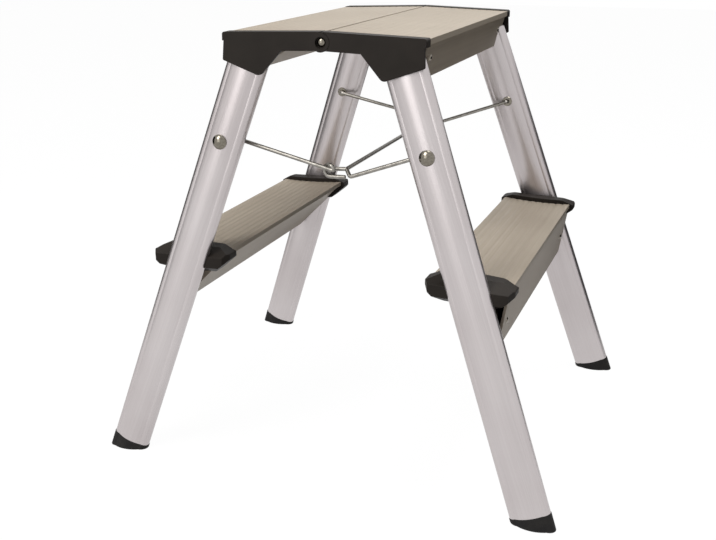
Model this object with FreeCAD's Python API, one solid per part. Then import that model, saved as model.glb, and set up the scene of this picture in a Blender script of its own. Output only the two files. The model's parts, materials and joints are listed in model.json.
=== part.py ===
"""Folding double sided step stool: two hinged frames, treads and a wire spreader.

Every node is a separate solid in one shared frame, in millimetres. X is the spread of the two
frames, Y runs along the treads and the hinge, Z is up. The origin is on the floor under the
hinge. The front right quarter is built first in the frame's own position, with its plate level,
then turned by the roof angle about the hinge and mirrored to the other quarters.
"""
import FreeCAD, Part
import math
import os

V = FreeCAD.Vector

# overall
TOP_Z = 450.0            # top face of the plates at the hinge line
PLATE_HALF_L = 151.0     # half length along the hinge; legs, caps, treads and spreader follow it
PIVOT_DROP = 9.0         # hinge axis below the top face
ROOF_DEG = 1.8           # each half slopes down from the hinge by this much
CONTACT = 0.0            # parts of one frame touch
MOVE_GAP = 0.4           # room between faces that slide past each other
PIN_GAP = 0.05           # radial running fit of every pin in its moving part
OVERRUN = 5.0            # cutting shapes run past the material by this much
SPACE = 3.0 * TOP_Z      # side of the boxes that cut away everything beyond a plane

# legs
LEG_W = 41.0             # across the flat oval, seen from the front
LEG_T = 20.6             # through the oval
LEG_SAG = 3.4            # how much each broad face bulges
LEG_WALL = 1.8
LEG_TOP_X = 68.75        # leg axis at the height of the plate
LEG_OUT = 10.5           # the outer face stands out from the end of the plate, at its height
LEG_TOP_Y = PLATE_HALF_L + LEG_OUT
LEAN = 0.3823            # run in X for each mm down
SPLAY = 0.0931           # run in Y for each mm down
LEG_HEAD_DROP = 16.4     # level cut of the upper tube end below the plate face
FOOT_RISE = 3.6          # thinnest part of the foot under the tube
FOOT_LIP = 0.5           # foot stands out from the tube by this much
PLUG = 24.0              # foot plug inside the tube

# top plate half
PLATE_IN_X = 1.0
PLATE_OUT_X = 100.4
PLATE_T = 3.6
LIP_H = 5.6
LIP_T = 2.4
APRON_DROP = 39.0        # lower edge of the outer apron below the plate face
APRON_IN = 9.9           # that edge lies this far inside the edge of the plate
APRON_T = 2.2
KEEL_T = 4.5             # solid lower edge of the apron
WEB_START = 12.0         # the slanting web leaves the plate this far from the inner lip
HOLLOW_START = 27.0      # and the hollow over it starts this far from the inner edge
NOTCH_L = 13.0           # the legs stand in notches of this length, under LEG_HEAD_DROP
NOTCH_Y = PLATE_HALF_L - NOTCH_L
TOP_GROOVE_COUNT = 11
TOP_GROOVE_D = 0.15
TOP_GROOVE_W = 2.4
GROOVE_FLAT = 0.35       # level share of the width of every groove

# top cap with hinge knuckle
CAP_SKIN = 2.2           # the front face stands out from the leg, at the height of the plate
CAP_FACE_Y = LEG_TOP_Y + CAP_SKIN
CAP_RISE = 0.8           # rim above the plate
CAP_PAST = 0.2           # the rim reaches past the edge of the plate
CAP_OUT_X = PLATE_OUT_X + CAP_PAST
CAP_RIM_H = 7.2          # rim that covers the end of the plate
CAP_STEP = 2.0           # the front panel ends this far inside the rim
CAP_SIDE_Z = 25.0        # outer side height below the plate face
CAP_PANEL_T = 3.4        # front panel, worn thin over the crown of the leg
CAP_LOW_IN = 6.75        # lowest corner of the lobe, inside the leg axis
CAP_ARCH_IN = 30.25      # corner of the arch, inside the leg axis
CAP_LOBE_R = 6.0
CAP_ARCH_R = 5.0
CAP_ARCH_DROP = 16.3
CAP_ARCH_FALL = 1.2      # the arch is higher than the hinge side by this much
CAP_BLOCK_IN = 12.4      # the bar behind the panel ends this far inside the plate's edge
CAP_PLUG = 22.0          # plug inside the tube
KNUCKLE_R = 8.7
KNUCKLE_SPLIT = 6.3      # left knuckle outside, right one inside; they meet this far past the plate
KNUCKLE_SPLIT_Y = PLATE_HALF_L + KNUCKLE_SPLIT
PIN_R = 3.0
PIN_HEAD_R = 4.2
PIN_HEAD_H = 1.8
PIN_SINK_R = 5.4
PIN_SINK_D = 2.0

# tread
TREAD_DROP = 219.4       # tread face below the plate face
TREAD_OFF = 1.2          # middle of the tread outside the leg axis at that height
TREAD_W = 78.2
TREAD_MID_X = LEG_TOP_X + LEAN * TREAD_DROP + TREAD_OFF
TREAD_IN_X = TREAD_MID_X - TREAD_W / 2.0
TREAD_OUT_X = TREAD_MID_X + TREAD_W / 2.0
TREAD_T = 3.0
TREAD_SHORT = 1.0        # the tread ends this far inside the end of the plate
TREAD_HALF_L = PLATE_HALF_L - TREAD_SHORT
TREAD_APRON_DROP = 64.0
TREAD_APRON_IN = 9.4     # lower edge of the apron inside the outer edge of the tread
TREAD_FOOT_X = TREAD_OUT_X - TREAD_APRON_IN
TREAD_WALL = 2.2
TREAD_LIP_H = 4.6
TREAD_LIP_T = 1.6
TREAD_KEEL_T = 5.5       # solid lower edge of the apron
TREAD_HOLLOW_START = 9.0 # the hollow starts this far from the inner edge
TREAD_GROOVE_COUNT = 9
TREAD_GROOVE_D = 0.5
TREAD_GROOVE_W = 4.0

# tread cap
TCAP_OVER = 4.4          # the noses reach past the edges of the tread
TCAP_HALF = TREAD_W / 2.0 + TCAP_OVER
TCAP_RISE = 4.6          # crown above the tread face
TCAP_SLOPE = 13.5        # the level crown starts this far from the nose
TCAP_NOSE_UP = 1.0       # top of the blunt nose below the tread face
TCAP_NOSE_H = 5.4
TCAP_DEPTH = 21.6        # underside below the tread face
TCAP_FLARE = 18.5        # the underside starts this far from the nose
TCAP_LAP = 6.0           # the crown laps over the tread by this much in the middle
TCAP_LAP_END = 4.0       # the lapping arc starts this far from the nose
TCAP_SHELF = 10.0        # the level crown reaches this far past the end of the tread
TCAP_THICK = 23.6        # and the front face, at the height of the tread
TCAP_CROWN_R = 10.0
TCAP_KEEL_R = 6.0
TCAP_EDGE_R = 1.5
TCAP_BEVEL = 3.0         # the sloping upper face ends this far below the tread face
TCAP_FRONT_H = 11.0      # height of the front face
TCAP_CORNER = 7.5        # corner of the front face cut back

# spreader
STAY_DROP = 103.2        # leg pivots below the plate face, before the roof angle
RIVET_R = 4.35
RIVET_HEAD_R = 7.4
RIVET_HEAD_H = 3.6
RIVET_SEAT = 0.6         # skirt under the dome, cut to the bulge of the leg
FLANGE_R = 5.6
FLANGE_T = 1.1
FLANGE_Y = LEG_TOP_Y - LEG_T + SPLAY * STAY_DROP - FLANGE_T
BORE_L = 10.6            # depth of the rivet bore
WIRE_R = 2.0
EYE_WIRE_R = 2.04        # wire of the knee eye, a little flattened
ARM_IN = 4.6             # the arms run this far inside the flanges of the rivets
STAY_Y = FLANGE_Y - ARM_IN
HOOK_IN = 6.2            # and the bar side of the bow this far inside the arms
BAR_Y = STAY_Y - HOOK_IN
KNEE_DROP = 132.0        # axis of the knee eyes below the top face
KNEE_Z = TOP_Z - KNEE_DROP
EYE_R = 6.0              # centre line of the wire round the knee
HUB_R = EYE_R - EYE_WIRE_R * math.cos(math.radians(22.5)) - PIN_GAP
HUB_PAST = 1.2           # the hub of the bow reaches past the eye
ARM_LIFT = 2.0           # the arm meets the knee eye this far above its centre
HOOK_SHORT = 2.0         # the hooks of the arms end this far before the rivet bore does
BAR_X = 14.5             # transverse bar beside the knee
BAR_RISE = 1.0
BEND_X = 20.5            # corner of the bow where the right arm starts
BEND_DROP = 5.0
TAIL_L = 15.0            # tail of the eye, ends beside the corner of the bow
TAIL_RISE = 0.03         # rise of the tail for each mm along it

# small apron rivets
TRIM_R = 3.2
TRIM_H = 1.4
TOP_TRIM_IN = 7.0        # from the notch
TOP_TRIM_SHARE = 0.42    # down the apron
TREAD_TRIM_IN = 8.0      # from the end of the tread
TREAD_TRIM_SHARE = 0.58

PIVOT_Z = TOP_Z - PIVOT_DROP
UP = V(0, 1, 0)


def turn(point, degrees):
    """A point turned about the hinge axis."""
    a = math.radians(degrees)
    x, z = point.x, point.z - PIVOT_Z
    return V(x * math.cos(a) + z * math.sin(a), point.y, PIVOT_Z - x * math.sin(a) + z * math.cos(a))


def roofed(shape):
    """The right frame's own position turned by the roof angle into the rest pose."""
    out = shape.copy()
    out.rotate(V(0, 0, PIVOT_Z), UP, ROOF_DEG)
    return out


def to_back(shape):
    return shape.mirror(V(0, 0, 0), V(0, 1, 0))


def to_left(shape):
    return shape.mirror(V(0, 0, 0), V(1, 0, 0))


def rounded(points):
    """A closed wire in XZ from (x, z, radius) corners."""
    flat = [V(p[0], 0, p[1]) for p in points]
    edges, ends = [], []
    count = len(points)
    for i, p in enumerate(points):
        here, before, after = flat[i], flat[i - 1], flat[(i + 1) % count]
        if p[2] <= 0:
            ends.append((here, here))
            continue
        u, w = (before - here).normalize(), (after - here).normalize()
        half = u.getAngle(w) / 2.0
        run = p[2] / math.tan(half)
        a, b = here + u * run, here + w * run
        middle = (u + w).normalize()
        mid = here + middle * (p[2] / math.sin(half) - p[2])
        edges.append((i, Part.Arc(a, mid, b).toShape()))
        ends.append((a, b))
    arcs = dict(edges)
    chain = []
    for i in range(count):
        if i in arcs:
            chain.append(arcs[i])
        a, b = ends[i][1], ends[(i + 1) % count][0]
        if a.distanceToPoint(b) > 1e-6:
            chain.append(Part.LineSegment(a, b).toShape())
    return Part.Wire(Part.__sortEdges__(chain))


def prism(points, y0, y1):
    """A profile in XZ extruded along Y from y0 to y1."""
    face = Part.Face(rounded(points))
    face.translate(V(0, y0, 0))
    return face.extrude(V(0, y1 - y0, 0))


def side_prism(points, x0, x1):
    """A polygon of (y, z) points extruded along X."""
    wire = Part.makePolygon([V(x0, y, z) for y, z in points + points[:1]])
    return Part.Face(wire).extrude(V(x1 - x0, 0, 0))


def rod_y(x, z, radius, y0, y1):
    return Part.makeCylinder(radius, y1 - y0, V(x, y0, z), V(0, 1, 0))


def dome(base, normal, radius, height):
    """A low rivet head standing on base: a faceted crown turned about its axis."""
    side = normal.cross(V(0.3, 0.2, 1)).normalize()
    profile = [base, base + side * radius]
    for share, rise in ((0.75, 0.72), (0.0, 1.0)):
        profile.append(base + side * (radius * share) + normal * (height * rise))
    face = Part.Face(Part.makePolygon(profile + [base]))
    return face.revolve(base, normal, 360)


def section(centre, way, radius):
    """The eight sided section of a bent wire, square to way, with two flats square to Y."""
    along = way * (1.0 / way.Length)
    across = UP.cross(along)
    if across.Length < 1e-6:
        across = V(1, 0, 0)
    across.normalize()
    third = along.cross(across)
    corners = []
    for i in range(9):
        a = math.radians(22.5 + 45.0 * i)
        corners.append(centre + across * (radius * math.cos(a)) + third * (radius * math.sin(a)))
    return Part.Face(Part.makePolygon(corners))


def straight(start, end, radius=WIRE_R):
    return section(start, end - start, radius).extrude(end - start)


def ring_y(x, z, radius, y):
    """A closed wire eye about an axis along Y."""
    return section(V(x + radius, y, z), V(0, 0, 1), EYE_WIRE_R).revolve(V(x, y, z), UP, 360)


# legs and feet

def leg_axis():
    """Start point and unit direction of the front right leg, plate level."""
    start = V(LEG_TOP_X, -(LEG_TOP_Y - LEG_T / 2.0), TOP_Z)
    return start, V(LEAN, -SPLAY, -1.0).normalize()


def leg_point(drop):
    start, way = leg_axis()
    return start + way * (drop / -way.z)


def leg_frame(origin):
    """Placement with X across the oval, Y through it and Z down the leg."""
    way = leg_axis()[1]
    across = V(1, 0, LEAN).normalize()
    across = (across - way * across.dot(way)).normalize()
    through = way.cross(across)
    turned = FreeCAD.Rotation(across, through, way, "ZXY")
    return FreeCAD.Placement(origin, turned)


def oval(grow):
    """The leg section grown outwards by grow, in the XY plane."""
    w, t = LEG_W / 2.0 + grow, LEG_T / 2.0 + grow
    r = LEG_T / 2.0 - LEG_SAG + grow
    x = w - r
    return Part.Wire([Part.Arc(V(-x, r, 0), V(0, t, 0), V(x, r, 0)).toShape(),
                      Part.Arc(V(x, r, 0), V(w, 0, 0), V(x, -r, 0)).toShape(),
                      Part.Arc(V(x, -r, 0), V(0, -t, 0), V(-x, -r, 0)).toShape(),
                      Part.Arc(V(-x, -r, 0), V(-w, 0, 0), V(-x, r, 0)).toShape()])


def leg_bar(grow, drop0, drop1):
    """A solid bar with the leg section between two distances down the leg."""
    start = leg_point(drop0)
    bar = Part.Face(oval(grow)).extrude(V(0, 0, (leg_point(drop1) - start).Length))
    bar.Placement = leg_frame(start)
    return bar


def leg_end_drop():
    """Distance down to the lower tube end, so that the foot is FOOT_RISE thick at least."""
    start, way = leg_axis()
    a, b = turn(start, ROOF_DEG), turn(start + way, ROOF_DEG)
    fall = a.z - b.z
    lean = math.sqrt(1.0 - fall * fall)
    goal = FOOT_RISE + LEG_W / 2.0 * lean
    return (a.z - goal) / fall * -way.z


def above(z):
    """Everything above a level plane."""
    return Part.makeBox(SPACE, SPACE, SPACE, V(-SPACE / 2, -SPACE / 2, z))


def build_leg():
    end = leg_end_drop()
    head = TOP_Z - LEG_HEAD_DROP
    bore = leg_bar(-LEG_WALL, -OVERRUN, end + OVERRUN)
    tube = leg_bar(0, 0, end).cut(bore).cut(above(head))
    hole = leg_point(STAY_DROP)
    return tube.cut(rod_y(hole.x, hole.z, RIVET_R, hole.y - LEG_T, hole.y + LEG_T))


def build_foot():
    """Rest pose already: the sole is cut by the floor."""
    end = leg_end_drop()
    block = leg_bar(FOOT_LIP, end, end + LEG_W + FOOT_RISE)
    plug = leg_bar(-LEG_WALL, end - PLUG, end + OVERRUN)
    foot = roofed(block.fuse(plug).removeSplitter())
    return foot.cut(Part.makeBox(SPACE, SPACE, SPACE, V(-SPACE / 2, -SPACE / 2, -SPACE)))


# top plate and caps

def grooved(x0, x1, z, count, depth, width):
    """Corner points of a face from x0 to x1 with even grooves cut into it."""
    pitch = (x1 - x0) / (count + 1)
    out = [(x0, z, 0)]
    for i in range(1, count + 1):
        x, half = x0 + i * pitch, width / 2.0
        out += [(x - half, z, 0), (x - half * GROOVE_FLAT, z - depth, 0),
                (x + half * GROOVE_FLAT, z - depth, 0), (x + half, z, 0)]
    return out + [(x1, z, 0)]


def build_top_plate():
    """Plate with inner and outer lips, an apron and a slanting web under it."""
    under, foot, lip = TOP_Z - PLATE_T, TOP_Z - APRON_DROP, TOP_Z - LIP_H
    foot_x, keel = PLATE_OUT_X - APRON_IN, TOP_Z - APRON_DROP + KEEL_T
    out = grooved(PLATE_IN_X, PLATE_OUT_X, TOP_Z, TOP_GROOVE_COUNT, TOP_GROOVE_D, TOP_GROOVE_W)
    out += [(PLATE_OUT_X, lip, 0), (PLATE_OUT_X - LIP_T, lip, 0)]
    out += [(foot_x, foot, 0.8), (foot_x - APRON_T * 1.6, foot, 0.8)]
    out += [(PLATE_IN_X + LIP_T + WEB_START, under, 0), (PLATE_IN_X + LIP_T, under, 0)]
    out += [(PLATE_IN_X + LIP_T, lip, 0), (PLATE_IN_X, lip, 0)]
    body = prism(out, -PLATE_HALF_L, PLATE_HALF_L)
    hollow = prism([(PLATE_IN_X + HOLLOW_START, under, 0), (PLATE_OUT_X - LIP_T - APRON_T, under, 0),
                    (foot_x - APRON_T, keel, 0), (foot_x - APRON_T * 2, keel, 0)],
                   -PLATE_HALF_L - OVERRUN, PLATE_HALF_L + OVERRUN)
    body = body.cut(hollow)
    for y in (-NOTCH_Y - SPACE, NOTCH_Y):
        body = body.cut(Part.makeBox(SPACE, SPACE, SPACE, V(-SPACE / 2, y, TOP_Z - LEG_HEAD_DROP - SPACE)))
    return body


def cap_panel():
    """Outline of the front panel: straight top, an arch and a lobe in front of the leg."""
    low_x, arch_x = LEG_TOP_X - CAP_LOW_IN, LEG_TOP_X - CAP_ARCH_IN
    low_z = TOP_Z - CAP_SIDE_Z - (CAP_OUT_X - low_x) * LEAN
    arch_z = TOP_Z - CAP_ARCH_DROP
    return [(MOVE_GAP, TOP_Z + CAP_RISE, 0), (CAP_OUT_X - CAP_STEP, TOP_Z + CAP_RISE, 0),
            (CAP_OUT_X, TOP_Z - CAP_SIDE_Z, 1.5), (low_x, low_z, CAP_LOBE_R),
            (arch_x, arch_z + CAP_ARCH_FALL, CAP_ARCH_R), (MOVE_GAP, arch_z, 0)]


def cap_front(depth):
    """Space between the splayed front face and a face depth behind it."""
    top, low = TOP_Z + CAP_RISE, TOP_Z - STAY_DROP
    face_top, face_low = -CAP_FACE_Y + SPLAY * CAP_RISE, -CAP_FACE_Y - SPLAY * STAY_DROP
    return side_prism([(face_top, top), (face_top + depth, top), (face_low + depth, low), (face_low, low)],
                      -CAP_OUT_X, 2 * CAP_OUT_X)


def build_top_cap(knuckle_outside):
    """Moulded cap: rim, front panel, bar with a plug in the leg, and one half of the knuckle."""
    top, head = TOP_Z + CAP_RISE, TOP_Z - LEG_HEAD_DROP
    face, back = -CAP_FACE_Y - SPLAY * STAY_DROP, -PLATE_HALF_L
    shell = cap_front(CAP_FACE_Y - PLATE_HALF_L + SPLAY * STAY_DROP)
    panel = prism(cap_panel(), face, back).common(cap_front(CAP_PANEL_T))
    rim = prism([(MOVE_GAP, top, 0), (CAP_OUT_X, top, 2.0), (CAP_OUT_X, TOP_Z - CAP_RIM_H, 0),
                 (MOVE_GAP, TOP_Z - CAP_RIM_H, 0)], face, back)
    block_x, arch_x = PLATE_OUT_X - CAP_BLOCK_IN, LEG_TOP_X - CAP_ARCH_IN
    bar = prism([(MOVE_GAP, top, 0), (block_x, top, 0), (block_x, head, 0), (arch_x, head, 0),
                 (MOVE_GAP, TOP_Z - CAP_ARCH_DROP, 0)], face, back)
    body = panel.fuse([rim.common(shell), bar.common(shell)])
    leg = leg_bar(CONTACT, 0, STAY_DROP).cut(above(head))
    plug = leg_bar(-LEG_WALL, 0, LEG_HEAD_DROP + CAP_PLUG).cut(above(head))
    body = body.cut(leg).fuse(plug)
    split, end = -KNUCKLE_SPLIT_Y, -(PLATE_HALF_L + MOVE_GAP)
    if knuckle_outside:
        y0, y1 = face, split - MOVE_GAP / 2
        room = rod_y(0, PIVOT_Z, KNUCKLE_R + MOVE_GAP, y1, back + OVERRUN)
    else:
        y0, y1 = split + MOVE_GAP / 2, end
        room = rod_y(0, PIVOT_Z, KNUCKLE_R + MOVE_GAP, face, y0)
    knuckle = rod_y(0, PIVOT_Z, KNUCKLE_R, y0, y1).common(shell)
    body = body.cut(room).fuse(knuckle).removeSplitter()
    if knuckle_outside:
        bore, sink = PIN_R, rod_y(0, PIVOT_Z, PIN_SINK_R, face, -CAP_FACE_Y + PIN_SINK_D)
    else:
        bore, sink = PIN_R + PIN_GAP, rod_y(0, PIVOT_Z, PIN_SINK_R, end - PIN_SINK_D, back + OVERRUN)
    return body.cut(rod_y(0, PIVOT_Z, bore, face, back + OVERRUN)).cut(sink)


def build_hinge_rivet():
    seat = -CAP_FACE_Y + PIN_SINK_D
    inner = -(PLATE_HALF_L + MOVE_GAP) - PIN_SINK_D + PIN_GAP
    shank = rod_y(0, PIVOT_Z, PIN_R, seat, inner + PIN_HEAD_H / 4)
    head = dome(V(0, seat, PIVOT_Z), V(0, -1, 0), PIN_HEAD_R, PIN_HEAD_H)
    clinch = dome(V(0, inner, PIVOT_Z), V(0, 1, 0), PIN_HEAD_R, PIN_HEAD_H)
    return shank.fuse([head, clinch]).removeSplitter()


# treads and their caps

def build_tread():
    """Hollow extrusion: grooved face, deep outer apron and a slanting web underneath."""
    top = TOP_Z - TREAD_DROP
    under, foot, lip = top - TREAD_T, top - TREAD_APRON_DROP, top - TREAD_LIP_H
    keel, wall = foot + TREAD_KEEL_T, TREAD_WALL
    out = grooved(TREAD_IN_X, TREAD_OUT_X, top, TREAD_GROOVE_COUNT, TREAD_GROOVE_D, TREAD_GROOVE_W)
    out += [(TREAD_OUT_X, lip, 0), (TREAD_OUT_X - TREAD_LIP_T, lip, 0)]
    out += [(TREAD_FOOT_X, foot, 1.0), (TREAD_FOOT_X - wall * 1.6, foot, 1.0)]
    out += [(TREAD_IN_X + wall, lip, 0), (TREAD_IN_X, lip, 0)]
    body = prism(out, -TREAD_HALF_L, TREAD_HALF_L)
    hollow = prism([(TREAD_IN_X + TREAD_HOLLOW_START, under, 0), (TREAD_OUT_X - TREAD_LIP_T - wall, under, 0),
                    (TREAD_FOOT_X - wall, keel, 0), (TREAD_FOOT_X - wall * 1.9, keel, 0)],
                   -TREAD_HALF_L - OVERRUN, TREAD_HALF_L + OVERRUN)
    return body.cut(hollow)


def build_tread_cap():
    """Boat shaped end cap: a crown that laps the tread, a sloping shoulder and a saddle round the leg."""
    top = TOP_Z - TREAD_DROP
    mid, nose = TREAD_MID_X, TCAP_HALF
    crown, keel = nose - TCAP_SLOPE, nose - TCAP_FLARE
    up, low = top - TCAP_NOSE_UP, top - TCAP_NOSE_UP - TCAP_NOSE_H
    ridge, under = top + TCAP_RISE, top - TCAP_DEPTH
    end = -TREAD_HALF_L
    lap, shelf, face = end + TCAP_LAP, end - TCAP_SHELF, end - TCAP_THICK
    hull = prism([(mid - nose, up, TCAP_EDGE_R), (mid - crown, ridge, TCAP_CROWN_R),
                  (mid + crown, ridge, TCAP_CROWN_R), (mid + nose, up, TCAP_EDGE_R),
                  (mid + nose, low, TCAP_EDGE_R), (mid + keel, under, TCAP_KEEL_R),
                  (mid - keel, under, TCAP_KEEL_R), (mid - nose, low, TCAP_EDGE_R)], face - OVERRUN, lap)
    chin = top - TCAP_BEVEL - TCAP_FRONT_H
    side = side_prism([(lap, top), (lap, ridge + OVERRUN), (shelf, ridge + OVERRUN), (shelf, ridge),
                       (face + SPLAY * TCAP_BEVEL, top - TCAP_BEVEL), (face - SPLAY * TCAP_FRONT_H, chin),
                       (shelf, under - 1), (end, under - 1), (end, top)], mid - TREAD_W, mid + TREAD_W)
    body = hull.common(side).common(cap_plan(mid, end, lap, face))
    return body.cut(leg_bar(CONTACT, TREAD_DROP - TREAD_W, TREAD_DROP + TREAD_W))


def cap_plan(mid, end, lap, face):
    """The tread cap seen from above: an arc over the tread, and cut back front corners."""
    nose, corner, low = TCAP_HALF, TCAP_CORNER, TOP_Z - TREAD_DROP - TCAP_DEPTH - OVERRUN
    inner, front = nose - TCAP_LAP_END, face - OVERRUN
    arc = Part.Arc(V(mid - inner, end, low), V(mid, lap, low), V(mid + inner, end, low)).toShape()
    rest = Part.makePolygon([V(mid + inner, end, low), V(mid + nose, end, low),
                             V(mid + nose, face + corner * 1.2, low), V(mid + nose - corner, front, low),
                             V(mid - nose + corner, front, low), V(mid - nose, face + corner * 1.2, low),
                             V(mid - nose, end, low), V(mid - inner, end, low)])
    return Part.Face(Part.Wire([arc] + rest.Edges)).extrude(V(0, 0, TCAP_DEPTH + TCAP_RISE + 2 * OVERRUN))


# rivets

def build_stay_rivet():
    """Domed tubular rivet through the leg, bored for the hook of the wire."""
    hole = leg_point(STAY_DROP)
    outer = hole.y - LEG_T / 2.0 - RIVET_SEAT
    head = dome(V(hole.x, outer, hole.z), V(0, -1, 0), RIVET_HEAD_R, RIVET_HEAD_H)
    seat = rod_y(hole.x, hole.z, RIVET_HEAD_R, outer, hole.y)
    flange = rod_y(hole.x, hole.z, FLANGE_R, hole.y, -FLANGE_Y)
    ends = seat.fuse(flange).cut(leg_bar(CONTACT, STAY_DROP - LEG_W, STAY_DROP + LEG_W))
    shank = rod_y(hole.x, hole.z, RIVET_R, outer, -FLANGE_Y)
    bore = rod_y(hole.x, hole.z, WIRE_R + PIN_GAP, -FLANGE_Y - BORE_L, -FLANGE_Y + OVERRUN)
    return shank.fuse([head, ends]).removeSplitter().cut(bore)


def apron_rivets(x0, z0, x1, z1, share, half_length):
    """Two small heads on an apron whose outer face runs from (x0, z0) down to (x1, z1)."""
    down = V(x1 - x0, 0, z1 - z0)
    normal = V(-down.z, 0, down.x).normalize()
    base = V(x0, 0, z0) + down * share
    heads = []
    for y in (-half_length, half_length):
        spot = V(base.x, y, base.z)
        heads.append(dome(spot, normal, TRIM_R, TRIM_H))
    return heads


def build_top_rivets():
    return apron_rivets(PLATE_OUT_X - LIP_T, TOP_Z - LIP_H, PLATE_OUT_X - APRON_IN, TOP_Z - APRON_DROP,
                        TOP_TRIM_SHARE, NOTCH_Y - TOP_TRIM_IN)


def build_tread_rivets():
    top = TOP_Z - TREAD_DROP
    return apron_rivets(TREAD_OUT_X - TREAD_LIP_T, top - TREAD_LIP_H, TREAD_FOOT_X, top - TREAD_APRON_DROP,
                        TREAD_TRIM_SHARE, TREAD_HALF_L - TREAD_TRIM_IN)


# spreader

def stay_pivot():
    """Leg pivot of the right frame in the rest pose."""
    return turn(leg_point(STAY_DROP), ROOF_DEG)


def build_stay_arm():
    """Front left arm: hook in the leg rivet, straight wire, eye at the knee and a stop tail."""
    p = stay_pivot()
    a, k = V(-p.x, -STAY_Y, p.z), V(0, -STAY_Y, KNEE_Z)
    way = (k - a).normalize()
    side = V(-way.z, 0, way.x)
    reach = math.sqrt(EYE_R ** 2 - ARM_LIFT ** 2)
    arm = straight(a, k + side * ARM_LIFT - way * reach)
    hook = rod_y(a.x, a.z, WIRE_R, -FLANGE_Y - BORE_L + HOOK_SHORT, -STAY_Y + WIRE_R)
    run = V(1, 0, TAIL_RISE).normalize()
    low = k + V(run.z, 0, -run.x) * EYE_R
    tail = straight(low, low + run * TAIL_L)
    return arm.fuse([hook, tail, ring_y(k.x, k.z, EYE_R, k.y)])


def build_bow():
    """Both right arms, the bar across the stool and the hooks with their hubs in the knee eyes."""
    p = stay_pivot()
    bar_z = KNEE_Z + BAR_RISE
    eye_half = EYE_WIRE_R + HUB_PAST
    end_y = FLANGE_Y - MOVE_GAP
    parts = []
    for s in (-1, 1):
        out = V(0, s, 0)
        bend = V(BEND_X, s * STAY_Y, KNEE_Z - BEND_DROP)
        corner = V(BAR_X, s * BAR_Y, bar_z)
        hook = V(0, s * BAR_Y, KNEE_Z)
        parts += [straight(V(p.x, s * STAY_Y, p.z), bend), straight(bend, corner), straight(corner, hook)]
        parts.append(Part.makeCylinder(WIRE_R, STAY_Y - BAR_Y, hook, out))
        parts.append(Part.makeCylinder(HUB_R, 2 * eye_half, V(0, s * (STAY_Y - eye_half), KNEE_Z), out))
        start = V(p.x, s * (STAY_Y - WIRE_R), p.z)
        parts.append(Part.makeCylinder(WIRE_R, end_y - STAY_Y + WIRE_R, start, out))
    bar = straight(V(BAR_X, -BAR_Y, bar_z), V(BAR_X, BAR_Y, bar_z))
    return bar.fuse(parts)


def export(name, shape):
    solids = shape if isinstance(shape, list) else shape.Solids
    whole = solids[0] if len(solids) == 1 else Part.makeCompound(solids)
    whole.exportStep("parts/" + name + ".step")


def quarter(builder, names):
    """One quarter part placed at the four corners; names are right, left for front and back."""
    front = roofed(builder())
    back = to_back(front)
    export("right_" + names + "_front", front)
    export("right_" + names + "_back", back)
    export("left_" + names + "_front", to_left(front))
    export("left_" + names + "_back", to_left(back))


def main():
    os.makedirs("parts", exist_ok=True)
    quarter(build_leg, "leg")
    quarter(build_tread_cap, "tread_cap")
    foot = build_foot()
    for side, move in (("right", lambda s: s), ("left", to_left)):
        export(side + "_foot_front", move(foot))
        export(side + "_foot_back", move(to_back(foot)))
        export(side + "_top_plate", move(roofed(build_top_plate())))
        export(side + "_tread", move(roofed(build_tread())))
        cap = roofed(build_top_cap(side == "left"))
        export(side + "_top_cap_front", move(cap))
        export(side + "_top_cap_back", move(to_back(cap)))
        rivet = roofed(build_stay_rivet())
        export(side + "_stay_rivet_front", move(rivet))
        export(side + "_stay_rivet_back", move(to_back(rivet)))
        for label, heads in (("_top_rivets", build_top_rivets()), ("_tread_rivets", build_tread_rivets())):
            export(side + label, [move(roofed(h)) for h in heads])
    pin = build_hinge_rivet()
    export("hinge_rivet_front", pin)
    export("hinge_rivet_back", to_back(pin))
    arm = build_stay_arm()
    export("stay_arm_front", arm)
    export("stay_arm_back", to_back(arm))
    export("stay_bow", build_bow())


main()
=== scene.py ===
"""Studio view of the folding step stool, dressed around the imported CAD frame. Units are metres."""
import bpy
import bmesh
import json
import math
from mathutils import Matrix, Vector


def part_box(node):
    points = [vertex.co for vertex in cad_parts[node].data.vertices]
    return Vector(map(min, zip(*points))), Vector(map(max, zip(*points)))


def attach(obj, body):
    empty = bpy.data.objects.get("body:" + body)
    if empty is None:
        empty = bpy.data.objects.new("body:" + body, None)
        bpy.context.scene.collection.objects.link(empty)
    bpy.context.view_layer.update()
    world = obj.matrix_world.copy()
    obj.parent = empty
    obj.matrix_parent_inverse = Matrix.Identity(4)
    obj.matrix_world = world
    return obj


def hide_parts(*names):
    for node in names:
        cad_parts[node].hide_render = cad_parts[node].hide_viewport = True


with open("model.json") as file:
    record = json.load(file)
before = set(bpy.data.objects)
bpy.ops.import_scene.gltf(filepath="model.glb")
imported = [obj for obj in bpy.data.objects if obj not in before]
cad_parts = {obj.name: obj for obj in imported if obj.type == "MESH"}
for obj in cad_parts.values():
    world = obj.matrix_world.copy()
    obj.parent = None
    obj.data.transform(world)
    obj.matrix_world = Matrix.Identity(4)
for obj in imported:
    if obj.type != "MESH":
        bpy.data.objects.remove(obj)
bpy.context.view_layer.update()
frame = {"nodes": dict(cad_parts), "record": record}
NODES = frame["nodes"]
BODY_OF = {node: body for body, nodes in frame["record"]["behaviour"]["bodies"].items() for node in nodes}
JOINT_AT = {j["name"]: Vector(j["pos_m"]) for j in frame["record"]["behaviour"]["joints"]}

# camera, fitted to the legs, treads and platform of the photograph
IMAGE_W = 716
CAMERA_AT = Vector((0.36243, -1.01535, 0.54447))
CAMERA_YAW = math.radians(21.0)
CAMERA_PITCH = math.radians(19.23)
CAMERA_ROLL = math.radians(0.27)
FOCAL_PX = 997.2
SENSOR_MM = 36.0

# legs
LEG_LEAN = 0.3823        # run in X for each metre down
LEG_SPLAY = 0.0931       # run in Y for each metre down

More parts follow.
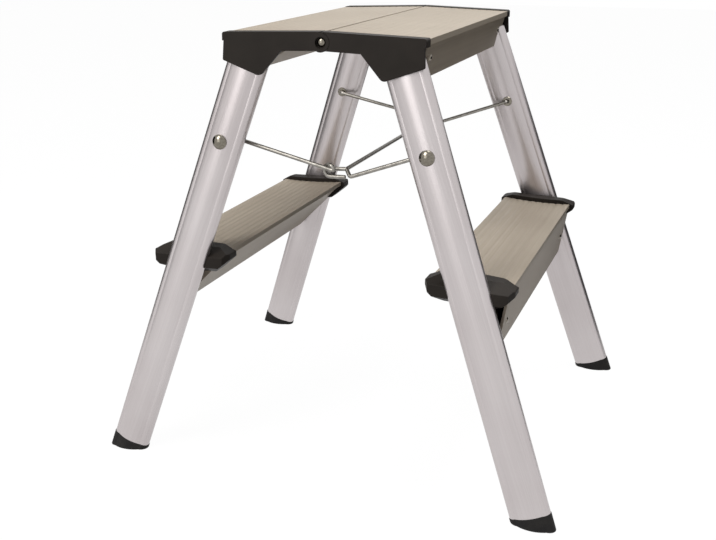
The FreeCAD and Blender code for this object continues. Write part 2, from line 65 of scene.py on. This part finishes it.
# spreader wires
WIRE_R = 0.0020
ARM_Y = 0.1448           # plane of the arms
HOOK_Y = 0.1386          # plane of the short links to the knee pins
RIVET_END_Y = 0.1580     # the arms end here in the bores of the left rivets
FLANGE_Y = 0.1490        # the bow ends here beside the right rivets
WIRE_BEND_R = 0.0035
EYE_R = 0.0060           # centre line of the knee eye
ARM_LIFT = 0.0020        # the arm crosses the eye this far above its centre
EYE_OVER = 0.0041        # and this far in front of it
EYE_RUN_IN = 0.0140
TAIL_L = 0.0150
TAIL_RISE = 0.03
BAR_AT = Vector((0.0145, 0.0, 0.3190))
BEND_AT = Vector((0.0205, 0.0, 0.3130))

# rivets
STAY_HEAD = (0.0074, 0.0036)     # radius and height of the dome
STAY_SHANK_R = 0.00435
STAY_FLANGE = (0.0056, 0.0011)
STAY_SKIRT = 0.0016
BORE_L = 0.0106
HINGE_HEAD = (0.0042, 0.0018)
HINGE_SHANK_R = 0.0030
TRIM_HEAD = (0.0032, 0.0014)
PLATE_TILT = math.radians(14.46) # outward and down, of the aprons that carry the small heads
TREAD_TILT = math.radians(9.28)

# rounded edges of the CAD pieces
TREAD_REACH = 0.0106     # the treads run on into their caps, up to the legs
CAP_EDGE = 0.0007
FOOT_EDGE = 0.0006
PLATE_EDGE = 0.0003
PLATE_SHARP = 40.0       # only edges of plates and treads beyond this angle are rounded

# studio
WORLD_FILL = 0.16        # light of the world on the object; where it is seen it is white
FLOOR_HALF = 6.0
FLOOR_GLOW = 1.12        # the floor's own light where it is seen
FLOOR_GLOW_SHARE = 0.87  # the rest is lit, so that a shadow stays
FLAGS = (("flag_right", (0.75, 0.10), (0.10, 1.00), 0.45),    # near end, far end, height
         ("flag_left", (-1.10, -0.45), (-0.80, 1.50), 0.8))
LAMPS = (("key", (-0.9, -1.5, 1.9), (0.0, 0.0, 0.25), (0.9, 1.2), 30.0, (1.0, 0.98, 0.95)),
         ("top", (0.45, 0.1, 2.2), (0.0, 0.0, 0.3), (1.2, 1.2), 34.0, (1.0, 1.0, 1.0)),
         ("strip", (-0.62, -2.0, 0.80), (0.0, -0.2, 0.40), (0.95, 1.1), 5.4, (1.0, 1.0, 1.0)))


# mesh helpers

def arc_xz(centre, radius, start, end, count):
    """Points round centre in its XZ plane, from angle start to angle end in degrees."""
    out = []
    for i in range(count + 1):
        a = math.radians(start + (end - start) * i / count)
        out.append(centre + Vector((math.cos(a), 0.0, math.sin(a))) * radius)
    return out


def hermite(p0, d0, p1, d1, count):
    """A smooth run from p0 to p1 with the directions d0 and d1, both ends left out."""
    out = []
    for i in range(1, count):
        t = i / count
        out.append(p0 * (2 * t ** 3 - 3 * t ** 2 + 1) + d0 * (t ** 3 - 2 * t ** 2 + t)
                   + p1 * (3 * t ** 2 - 2 * t ** 3) + d1 * (t ** 3 - t ** 2))
    return out


def bent(corners, radius, count=8):
    """A line through corners with every inner corner bent round."""
    out = [corners[0]]
    for before, here, after in zip(corners, corners[1:], corners[2:]):
        u, w = (before - here).normalized(), (after - here).normalized()
        half = u.angle(w) / 2.0
        run = min(radius / math.tan(half), 0.45 * min((before - here).length, (after - here).length))
        start, end = here + u * run, here + w * run
        for i in range(count + 1):
            t = i / count
            out.append(start * (1 - t) ** 2 + here * (2 * t * (1 - t)) + end * t ** 2)
    return out + [corners[-1]]


def sweep(bm, path, radius, sides=20, rounding=4):
    """A round wire along path with rounded ends, its section carried along without twist."""
    count = len(path)
    ways = [(path[min(i + 1, count - 1)] - path[max(i - 1, 0)]).normalized() for i in range(count)]
    side = ways[0].orthogonal().normalized()
    rings = []
    stations = [(path[0], ways[0], -1, j) for j in range(rounding)]
    stations += [(p, w, 0, 0) for p, w in zip(path, ways)]
    stations += [(path[-1], ways[-1], 1, rounding - 1 - j) for j in range(rounding)]
    for at, way, end, step in stations:
        side = (side - way * side.dot(way)).normalized()
        up = way.cross(side)
        a = math.pi / 2 * (step + 0.35) / rounding if end else math.pi / 2
        centre = at + way * (end * radius * math.cos(a) * 0.5)
        size = radius * math.sin(a)
        ring = []
        for k in range(sides):
            b = 2 * math.pi * k / sides
            ring.append(bm.verts.new(centre + (side * math.cos(b) + up * math.sin(b)) * size))
        rings.append(ring)
    for low, high in zip(rings, rings[1:]):
        for k in range(sides):
            n = (k + 1) % sides
            bm.faces.new((low[k], low[n], high[n], high[k]))
    bm.faces.new(list(reversed(rings[0])))
    bm.faces.new(rings[-1])


def lathe(bm, profile, origin, axis, steps=48):
    """Turns (radius, height) points about axis; points with no radius become poles."""
    axis = axis.normalized()
    side = axis.orthogonal().normalized()
    up = axis.cross(side)
    rings = []
    for radius, height in profile:
        centre = origin + axis * height
        if radius < 1e-7:
            rings.append([bm.verts.new(centre)])
            continue
        ring = []
        for k in range(steps):
            a = 2 * math.pi * k / steps
            ring.append(bm.verts.new(centre + (side * math.cos(a) + up * math.sin(a)) * radius))
        rings.append(ring)
    for low, high in zip(rings, rings[1:]):
        for k in range(steps):
            n = (k + 1) % steps
            corners = [low[k % len(low)], low[n % len(low)], high[n % len(high)], high[k % len(high)]]
            bm.faces.new(list(dict.fromkeys(corners)))


def cap_profile(radius, height, base, count=10):
    """The outline of a dome from its rim at height base up to its pole."""
    ball = (radius ** 2 + height ** 2) / (2 * height)
    edge = math.asin(min(1.0, radius / ball))
    out = []
    for i in range(count + 1):
        a = edge * (1 - i / count)
        out.append((ball * math.sin(a), base + ball * math.cos(a) - (ball - height)))
    return out


def piece(name, bm, material, nodes, sharp=40.0):
    """An object from bm that stands for the CAD nodes and rides on their body."""
    bmesh.ops.recalc_face_normals(bm, faces=bm.faces)
    mesh = bpy.data.meshes.new(name)
    bm.to_mesh(mesh)
    bm.free()
    for face in mesh.polygons:
        face.use_smooth = True
    mesh.set_sharp_from_angle(angle=math.radians(sharp))
    mesh.materials.append(material)
    made = bpy.data.objects.new(name, mesh)
    bpy.context.scene.collection.objects.link(made)
    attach(made, BODY_OF[nodes[0]])
    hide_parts(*nodes)
    return made


# material helpers

def new_material(name, base, metallic, roughness):
    """A material with its node tree, its Principled shader and a rest-space coordinate."""
    mat = bpy.data.materials.new(name)
    mat.use_nodes = True
    tree = mat.node_tree
    shader = tree.nodes["Principled BSDF"]
    shader.inputs["Base Color"].default_value = (*base, 1.0)
    shader.inputs["Metallic"].default_value = metallic
    shader.inputs["Roughness"].default_value = roughness
    coords = tree.nodes.new("ShaderNodeTexCoord")
    return mat, tree, shader, coords.outputs["Object"]


def add(tree, kind, links=(), **values):
    """A node of that kind, with inputs linked or set by name or index."""
    node = tree.nodes.new(kind)
    for key, value in values.items():
        setattr(node, key, value)
    for slot, source in links:
        if hasattr(source, "is_output"):
            tree.links.new(source, node.inputs[slot])
        else:
            node.inputs[slot].default_value = source
    return node


def math_node(tree, operation, a, b):
    return add(tree, "ShaderNodeMath", ((0, a), (1, b)), operation=operation).outputs[0]


def stretched(tree, coords, scale):
    """Coordinates scaled by axis, so that a noise runs as streaks."""
    return add(tree, "ShaderNodeMapping", (("Vector", coords), ("Scale", scale))).outputs[0]


def along_leg(tree, coords):
    """Coordinates across, through and down a leg, the same for all four legs."""
    split = add(tree, "ShaderNodeSeparateXYZ", ((0, coords),)).outputs
    across = math_node(tree, "ABSOLUTE", split[0], 0.0)
    through = math_node(tree, "ABSOLUTE", split[1], 0.0)
    across = math_node(tree, "ADD", across, math_node(tree, "MULTIPLY", split[2], LEG_LEAN))
    through = math_node(tree, "ADD", through, math_node(tree, "MULTIPLY", split[2], LEG_SPLAY))
    return add(tree, "ShaderNodeCombineXYZ", ((0, across), (1, through), (2, split[2]))).outputs[0]


def noise(tree, coords, scale, detail=3.0, rough=0.55):
    links = (("Vector", coords), ("Scale", scale), ("Detail", detail), ("Roughness", rough))
    return add(tree, "ShaderNodeTexNoise", links).outputs["Fac"]


def ramp(tree, value, stops):
    """A colour ramp over value from (place, colour) stops."""
    node = add(tree, "ShaderNodeValToRGB", ((0, value),))
    bar = node.color_ramp.elements
    while len(bar) < len(stops):
        bar.new(0.5)
    for element, (place, colour) in zip(bar, stops):
        element.position = place
        element.color = (*colour, 1.0)
    return node.outputs[0]


def span(tree, value, low, high):
    """value from 0..1 moved to low..high."""
    links = ((0, value), (1, 0.0), (2, 1.0), (3, low), (4, high))
    return add(tree, "ShaderNodeMapRange", links).outputs[0]


def bump(tree, shader, height, depth):
    node = add(tree, "ShaderNodeBump", (("Height", height), ("Distance", depth)))
    tree.links.new(node.outputs[0], shader.inputs["Normal"])


# materials

def leg_metal():
    """Satin anodised tube: faint drawn streaks along the leg and soft mottled tone."""
    mat, tree, shader, coords = new_material("leg_anodised", (0.55, 0.51, 0.51), 0.9, 0.30)
    leg = along_leg(tree, coords)
    cloud = noise(tree, coords, 9.0, 2.0)
    streak = noise(tree, stretched(tree, leg, (900.0, 900.0, 4.0)), 1.0, 3.0)
    clouded = math_node(tree, "MULTIPLY", cloud, 0.6)
    both = math_node(tree, "ADD", clouded, math_node(tree, "MULTIPLY", streak, 0.4))
    tone = ramp(tree, both, ((0.3, (0.50, 0.455, 0.455)), (0.7, (0.60, 0.562, 0.562))))
    tree.links.new(tone, shader.inputs["Base Color"])
    tree.links.new(span(tree, streak, 0.27, 0.40), shader.inputs["Roughness"])
    bump(tree, shader, streak, 0.00004)
    return mat


def plate_metal():
    """Champagne toned extrusion with long die lines."""
    mat, tree, shader, coords = new_material("plate_champagne", (0.38, 0.33, 0.265), 0.10, 0.42)
    lines = noise(tree, stretched(tree, coords, (420.0, 2.0, 420.0)), 1.0, 4.0)
    cloud = noise(tree, coords, 6.0, 2.0)
    both = math_node(tree, "MULTIPLY", lines, cloud)
    tone = ramp(tree, both, ((0.1, (0.33, 0.28, 0.222)), (0.45, (0.42, 0.365, 0.295))))
    tree.links.new(tone, shader.inputs["Base Color"])
    tree.links.new(span(tree, lines, 0.40, 0.54), shader.inputs["Roughness"])
    shader.inputs["Specular IOR Level"].default_value = 0.12
    bump(tree, shader, lines, 0.00004)
    return mat


def cap_plastic():
    """Matte moulded plastic with a fine spark eroded grain."""
    mat, tree, shader, coords = new_material("cap_black_brown", (0.022, 0.018, 0.015), 0.0, 0.5)
    grain = noise(tree, coords, 1400.0, 2.0)
    cloud = noise(tree, coords, 30.0, 2.0)
    tone = ramp(tree, cloud, ((0.3, (0.016, 0.0128, 0.0105)), (0.7, (0.023, 0.0188, 0.0155))))
    tree.links.new(tone, shader.inputs["Base Color"])
    tree.links.new(span(tree, grain, 0.42, 0.58), shader.inputs["Roughness"])
    shader.inputs["Specular IOR Level"].default_value = 0.12
    bump(tree, shader, grain, 0.00006)
    return mat


def foot_rubber():
    """Black rubber, dustier towards the floor."""
    mat, tree, shader, coords = new_material("foot_rubber", (0.012, 0.011, 0.011), 0.0, 0.7)
    grain = noise(tree, coords, 900.0, 3.0)
    dust = noise(tree, coords, 70.0, 3.0)
    tone = ramp(tree, dust, ((0.4, (0.010, 0.009, 0.009)), (0.75, (0.026, 0.024, 0.022))))
    tree.links.new(tone, shader.inputs["Base Color"])
    tree.links.new(span(tree, grain, 0.62, 0.82), shader.inputs["Roughness"])
    shader.inputs["Specular IOR Level"].default_value = 0.25
    bump(tree, shader, grain, 0.0001)
    return mat


def rivet_steel():
    """Bright nickel plate with a trace of wear; its base colour is painted dark, a painted reflection of
    dark surroundings in the domes.
    """
    mat, tree, shader, coords = new_material("rivet_nickel_painted_dark", (0.20, 0.18, 0.15), 1.0, 0.16)
    wear = noise(tree, coords, 600.0, 4.0)
    # painted reflection: both stops are set dark to stand for dark surroundings mirrored in the domes; the
    # noise between them is wear
    tone = ramp(tree, wear, ((0.35, (0.165, 0.148, 0.12)), (0.65, (0.235, 0.215, 0.18))))
    tree.links.new(tone, shader.inputs["Base Color"])
    tree.links.new(span(tree, wear, 0.13, 0.22), shader.inputs["Roughness"])
    return mat


def wire_steel():
    """Zinc plated drawn wire."""
    mat, tree, shader, coords = new_material("wire_zinc", (0.30, 0.29, 0.27), 0.9, 0.36)
    patch = noise(tree, coords, 180.0, 4.0)
    tone = ramp(tree, patch, ((0.3, (0.20, 0.188, 0.168)), (0.7, (0.32, 0.305, 0.28))))
    tree.links.new(tone, shader.inputs["Base Color"])
    tree.links.new(span(tree, patch, 0.28, 0.44), shader.inputs["Roughness"])
    return mat


MAKERS = {"leg_metal": leg_metal, "plate_metal": plate_metal, "cap_plastic": cap_plastic,
          "foot_rubber": foot_rubber, "rivet_steel": rivet_steel, "wire_steel": wire_steel}
MATERIALS = {slot: make() for slot, make in MAKERS.items()}
SLOT_OF = {row["node"]: row["material_slot"] for row in frame["record"]["subparts"]}


def dress_nodes():
    """Gives every CAD node the material of its slot."""
    for name, node in NODES.items():
        node.data.materials.clear()
        node.data.materials.append(MATERIALS[SLOT_OF[name]])


# spreader

def build_arm(sign, node):
    """Left arm: hook in the rivet, straight wire, an eye at the knee and the stop tail."""
    pivot, knee = JOINT_AT["stay_turn"].copy(), JOINT_AT["knee_turn"].copy()
    pivot.y = knee.y = sign * ARM_Y
    out = Vector((0.0, sign, 0.0))
    way = (knee - pivot).normalized()
    lift = Vector((-way.z, 0.0, way.x)) * ARM_LIFT
    over = out * EYE_OVER
    run = Vector((1.0, 0.0, TAIL_RISE)).normalized()
    cross_in = knee + lift + over - way * EYE_RUN_IN
    cross_out = knee + lift + over + way * 0.0015
    path = bent([pivot + out * (RIVET_END_Y - ARM_Y), pivot, cross_in, cross_out], WIRE_BEND_R)
    eye = arc_xz(knee, EYE_R, 42.0, 270.0 + math.degrees(math.atan(TAIL_RISE)), 40)
    for i, point in enumerate(eye):
        share = max(0.0, 1.0 - i / 18.0)
        point += over * (share * share * (3.0 - 2.0 * share))
    curl = hermite(cross_out, way * 0.0105, eye[0], Vector((-0.67, 0.0, 0.74)) * 0.0075, 10)
    bm = bmesh.new()
    sweep(bm, path + curl + eye + [eye[-1] + run * (TAIL_L * share) for share in (0.1, 0.5, 1.0)], WIRE_R)
    piece(node + "_wire", bm, MATERIALS["wire_steel"], [node], 60.0)


def build_bow():
    """Right arms and the bar across the stool in one wire, with the two knee pins."""
    pivot = JOINT_AT["stay_turn"]
    knee = JOINT_AT["knee_turn"]
    route, back = [], []
    bm = bmesh.new()
    for sign, side in ((-1, route), (1, back)):
        out = Vector((0.0, sign, 0.0))
        end = Vector((-pivot.x, 0.0, pivot.z))
        side += [end + out * FLANGE_Y, end + out * ARM_Y, BEND_AT + out * ARM_Y, BAR_AT + out * HOOK_Y]
        link = [BAR_AT + out * HOOK_Y, knee + out * HOOK_Y, knee + out * (ARM_Y + WIRE_R)]
        sweep(bm, bent(link, WIRE_BEND_R), WIRE_R)
    sweep(bm, bent(route + back[::-1], WIRE_BEND_R), WIRE_R)
    piece("stay_bow_wire", bm, MATERIALS["wire_steel"], ["stay_bow"], 60.0)


# rivets

def build_stay_rivet(node):
    """Domed tubular rivet through a leg, turned about its bore."""
    low, high = (Vector(c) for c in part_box(node))
    sign = 1.0 if high.y > 0 else -1.0
    outer, inner = max(abs(low.y), abs(high.y)), min(abs(low.y), abs(high.y))
    radius, height = STAY_HEAD
    flange_r, flange_t = STAY_FLANGE
    bore, base = WIRE_R + 0.00005, outer - height
    profile = [(0.0, inner + BORE_L), (bore, inner + BORE_L), (bore, inner + 0.0004), (bore + 0.0004, inner),
               (flange_r - 0.0004, inner), (flange_r, inner + 0.0004), (flange_r, inner + flange_t * 1.5),
               (STAY_SHANK_R, inner + flange_t * 1.5), (STAY_SHANK_R, base - STAY_SKIRT),
               (radius, base - STAY_SKIRT)]
    bm = bmesh.new()
    centre = Vector(((low.x + high.x) / 2, 0.0, (low.z + high.z) / 2))
    lathe(bm, profile + cap_profile(radius, height, base), centre, Vector((0.0, sign, 0.0)))
    piece(node + "_turned", bm, MATERIALS["rivet_steel"], [node])


def build_hinge_rivet(node):
    """Shank with a low dome at both ends."""
    low, high = (Vector(c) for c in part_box(node))
    sign = 1.0 if high.y > 0 else -1.0
    outer, inner = max(abs(low.y), abs(high.y)), min(abs(low.y), abs(high.y))
    radius, height = HINGE_HEAD
    head = cap_profile(radius, height, outer - height)
    clinch = [(r, outer + inner - t) for r, t in reversed(head)]
    shank = [(HINGE_SHANK_R, inner + height), (HINGE_SHANK_R, outer - height)]
    bm = bmesh.new()
    centre = Vector(((low.x + high.x) / 2, 0.0, (low.z + high.z) / 2))
    lathe(bm, clinch + shank + head, centre, Vector((0.0, sign, 0.0)))
    piece(node + "_turned", bm, MATERIALS["rivet_steel"], [node])


def build_trim_rivets(node, tilt):
    """The two small heads on an apron that faces outward and down."""
    low, high = (Vector(c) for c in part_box(node))
    side = 1.0 if high.x > 0 else -1.0
    radius, height = TRIM_HEAD
    normal = Vector((side * math.cos(tilt), 0.0, -math.sin(tilt)))
    x = (low.x if side > 0 else high.x) + side * radius * math.sin(tilt)
    z = (low.z + high.z) / 2
    bm = bmesh.new()
    for y in (low.y + radius, high.y - radius):
        lathe(bm, [(0.0, 0.0)] + cap_profile(radius, height, 0.0), Vector((x, y, z)), normal, 32)
    piece(node + "_turned", bm, MATERIALS["rivet_steel"], [node])


def soften(node, width, sharp=25.0, reach=0.0):
    """A copy of a CAD node with its hard edges rounded off; reach lengthens it at both ends."""
    bm = bmesh.new()
    bm.from_mesh(NODES[node].data)
    end = max(abs(vert.co.y) for vert in bm.verts) - 0.001
    for vert in bm.verts:
        if abs(vert.co.y) > end:
            vert.co.y += math.copysign(reach, vert.co.y)
    bmesh.ops.remove_doubles(bm, verts=bm.verts, dist=1e-6)
    bmesh.ops.dissolve_limit(bm, angle_limit=math.radians(0.6), verts=bm.verts, edges=bm.edges)
    made = piece(node + "_soft", bm, MATERIALS[SLOT_OF[node]], [node], 30.0)
    bevel = made.modifiers.new("edges", "BEVEL")
    bevel.limit_method = "ANGLE"
    bevel.angle_limit = math.radians(sharp)
    bevel.width = width
    bevel.segments = 2
    bevel.use_clamp_overlap = True
    bevel.harden_normals = True


# studio

def white_for_view(tree):
    """A factor that is 1 for rays that show the background."""
    path = tree.nodes.new("ShaderNodeLightPath")
    seen = path.outputs["Is Camera Ray"]
    for other in ("Is Glossy Ray", "Is Transmission Ray"):
        seen = math_node(tree, "MAXIMUM", seen, path.outputs[other])
    return seen


def build_world():
    world = bpy.data.worlds.new("studio")
    bpy.context.scene.world = world
    world.use_nodes = True
    tree = world.node_tree
    tree.nodes.clear()
    soft = add(tree, "ShaderNodeBackground", (("Color", (0.96, 0.97, 1.0, 1.0)), ("Strength", WORLD_FILL)))
    white = add(tree, "ShaderNodeBackground", (("Color", (1.0, 1.0, 1.0, 1.0)), ("Strength", 1.0)))
    links = ((0, white_for_view(tree)), (1, soft.outputs[0]), (2, white.outputs[0]))
    mix = add(tree, "ShaderNodeMixShader", links)
    out = tree.nodes.new("ShaderNodeOutputWorld")
    tree.links.new(mix.outputs[0], out.inputs[0])


def stage_sheet(name, corners, mat):
    mesh = bpy.data.meshes.new(name)
    mesh.from_pydata(corners, [], [(0, 1, 2, 3)])
    mesh.materials.append(mat)
    sheet = bpy.data.objects.new(name, mesh)
    bpy.context.scene.collection.objects.link(sheet)
    return sheet


def build_floor():
    """A pale floor that reads white and keeps a faint shadow."""
    size = FLOOR_HALF
    mat, tree, shader, coords = new_material("floor_white", (0.35, 0.35, 0.35), 0.0, 0.9)
    shader.inputs["Specular IOR Level"].default_value = 0.0
    glow = add(tree, "ShaderNodeEmission", (("Color", (1.0, 1.0, 1.0, 1.0)), ("Strength", FLOOR_GLOW)))
    part = math_node(tree, "MULTIPLY", white_for_view(tree), FLOOR_GLOW_SHARE)
    mix = add(tree, "ShaderNodeMixShader", ((0, part), (1, shader.outputs[0]), (2, glow.outputs[0])))
    tree.links.new(mix.outputs[0], tree.nodes["Material Output"].inputs["Surface"])
    corners = [(-size, -size, 0.0), (size, -size, 0.0), (size, size, 0.0), (-size, size, 0.0)]
    stage_sheet("floor", corners, mat)


def build_flags():
    """Dark flags beside the stool that edge the metal and hold back the fill, without a lamp shadow."""
    mat, tree, shader, coords = new_material("flag_black", (0.02, 0.02, 0.02), 0.0, 0.9)
    shader.inputs["Specular IOR Level"].default_value = 0.0
    for name, near, far, top in FLAGS:
        flag = stage_sheet(name, [(*near, 0.001), (*far, 0.001), (*far, top), (*near, top)], mat)
        flag.visible_camera = flag.visible_shadow = False


def area_light(name, place, aim, size, power, tint):
    data = bpy.data.lights.new(name, "AREA")
    data.shape = "RECTANGLE"
    data.size, data.size_y = size
    data.energy = power
    data.color = tint
    lamp = bpy.data.objects.new(name, data)
    bpy.context.scene.collection.objects.link(lamp)
    way = Vector(aim) - Vector(place)
    lamp.location = place
    lamp.rotation_euler = way.to_track_quat("-Z", "Y").to_euler()


def build_lights():
    for lamp in LAMPS:
        area_light(*lamp)


def build_camera():
    """The photograph's camera: place, yaw, pitch, roll and focal length."""
    level = math.cos(CAMERA_PITCH)
    ahead = Vector((-math.sin(CAMERA_YAW) * level, math.cos(CAMERA_YAW) * level, -math.sin(CAMERA_PITCH)))
    right = ahead.cross(Vector((0.0, 0.0, 1.0))).normalized()
    up = right.cross(ahead)
    turned = right * math.cos(CAMERA_ROLL) - up * math.sin(CAMERA_ROLL)
    axes = Matrix((turned, turned.cross(ahead), -ahead)).transposed().to_4x4()
    data = bpy.data.cameras.new("camera")
    data.sensor_width = SENSOR_MM
    data.lens = FOCAL_PX * SENSOR_MM / IMAGE_W
    camera = bpy.data.objects.new("camera", data)
    camera.matrix_world = Matrix.Translation(CAMERA_AT) @ axes
    bpy.context.scene.collection.objects.link(camera)
    bpy.context.scene.camera = camera


dress_nodes()
for sign, node in ((-1.0, "stay_arm_front"), (1.0, "stay_arm_back")):
    build_arm(sign, node)
build_bow()
for side in ("left", "right"):
    for end in ("front", "back"):
        build_stay_rivet(f"{side}_stay_rivet_{end}")
        soften(f"{side}_top_cap_{end}", CAP_EDGE)
        soften(f"{side}_tread_cap_{end}", CAP_EDGE)
        soften(f"{side}_foot_{end}", FOOT_EDGE)
    build_trim_rivets(f"{side}_top_rivets", PLATE_TILT)
    build_trim_rivets(f"{side}_tread_rivets", TREAD_TILT)
    soften(f"{side}_top_plate", PLATE_EDGE, PLATE_SHARP)
    soften(f"{side}_tread", PLATE_EDGE, PLATE_SHARP, TREAD_REACH)
for end in ("front", "back"):
    build_hinge_rivet(f"hinge_rivet_{end}")
build_world()
build_floor()
build_flags()
build_lights()
build_camera()
bpy.context.scene.view_settings.view_transform = "Standard"
